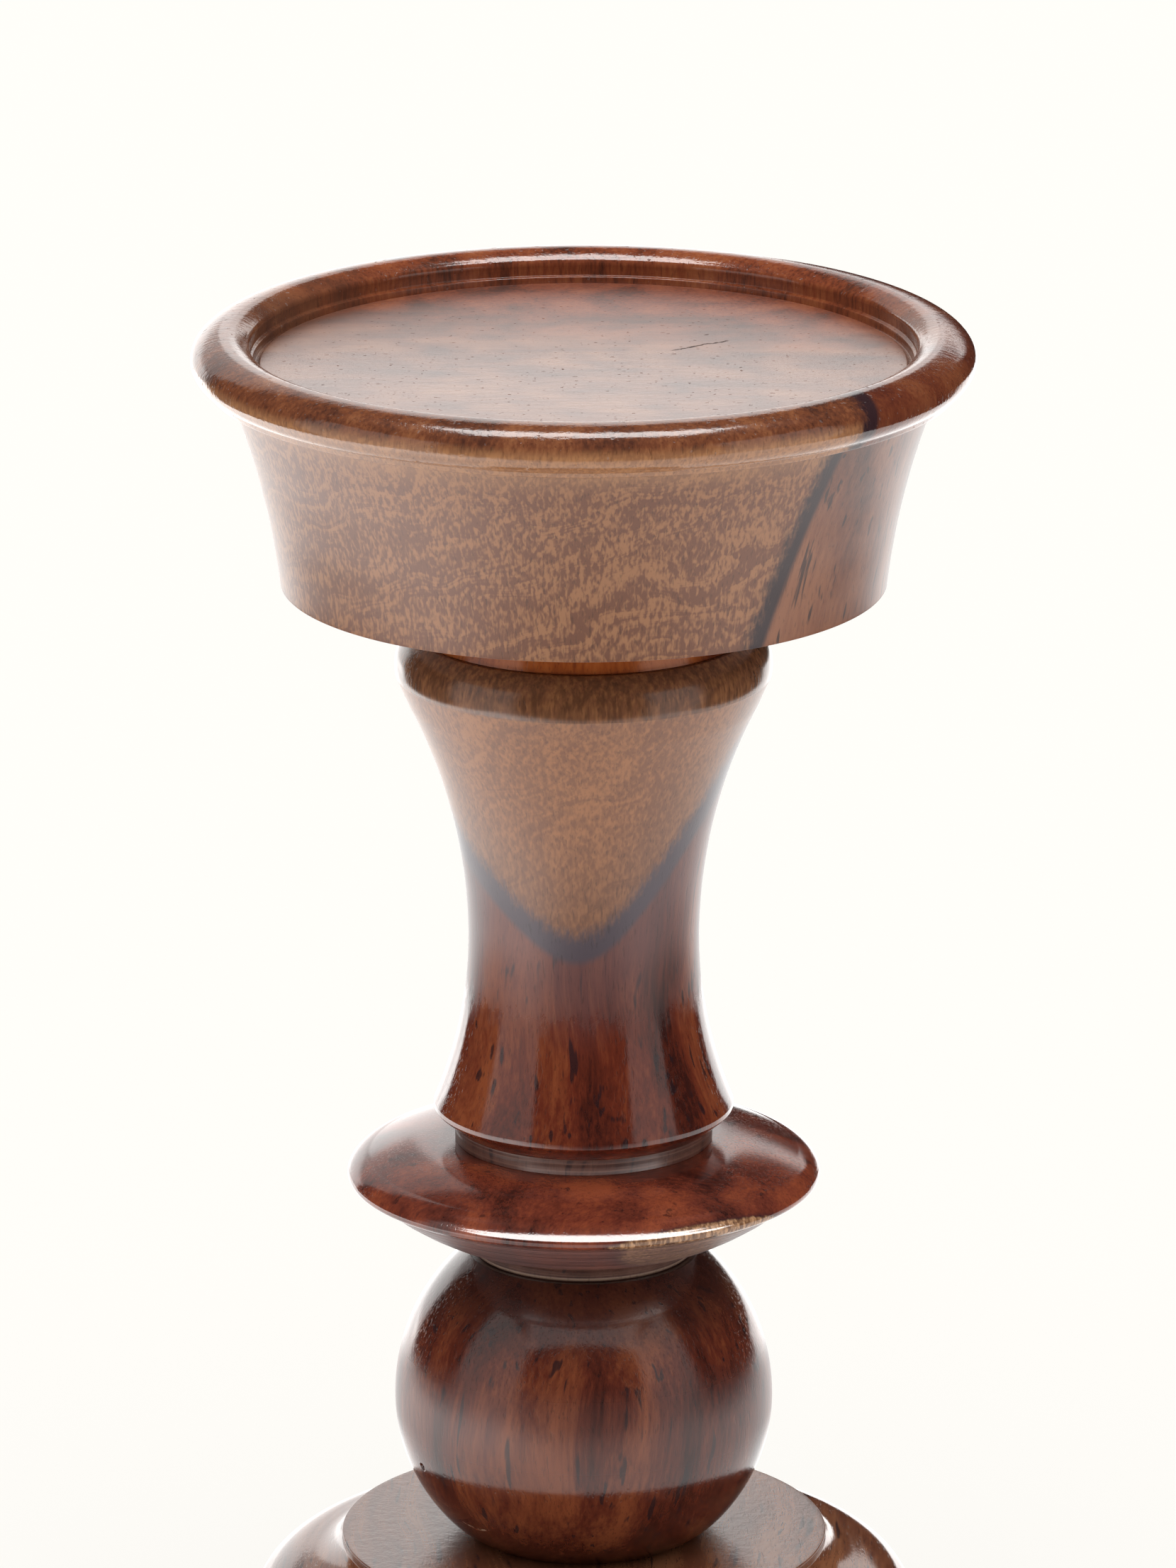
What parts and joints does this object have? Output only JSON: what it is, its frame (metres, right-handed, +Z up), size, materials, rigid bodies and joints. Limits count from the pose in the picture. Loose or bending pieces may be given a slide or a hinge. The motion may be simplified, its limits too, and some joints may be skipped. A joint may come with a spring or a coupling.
{
  "type": "pillar candle stand",
  "caption": "Turned wooden pedestal stand: a shallow rimmed dish on a waisted stem, a disc collar, a ball and a spreading base.",
  "frame": {"origin": "on the table, at the middle of the felt under the base", "axes": "+Z up the stand's turning axis; +X to the right and -Y towards a viewer of the front"},
  "size_m": [0.108, 0.108, 0.205],
  "materials": {
    "dish_wood": "satin lacquer over pale sapwood with a streak of red heartwood",
    "neck_wood": "gloss lacquer over orange-red heartwood",
    "stem_wood": "gloss lacquer, a wedge of sapwood above and streaked heartwood below",
    "ring_wood": "satin lacquer with fine turning lines",
    "collar_wood": "gloss lacquer over deep red-brown heartwood",
    "ball_wood": "gloss lacquer over red-brown heartwood with dark streaks",
    "base_wood": "gloss lacquer over brown heartwood, satin on the flat disc",
    "felt": "dark green wool felt",
    "rod_steel": "zinc-plated steel",
    "fastener_steel": "zinc-plated steel",
    "insert_brass": "plain turned brass"
  },
  "bodies": {
    "root": {"dish": "dish_wood", "neck_ring": "neck_wood", "stem": "stem_wood", "stem_seat_ring": "ring_wood", "collar": "collar_wood", "ball_seat_ring": "ring_wood", "ball": "ball_wood", "base": "base_wood", "base_felt": "felt", "tie_rod": "rod_steel", "dish_insert": "insert_brass", "flat_washer": "fastener_steel", "spring_washer": "fastener_steel", "hex_nut": "fastener_steel"}
  },
  "joints": []
}
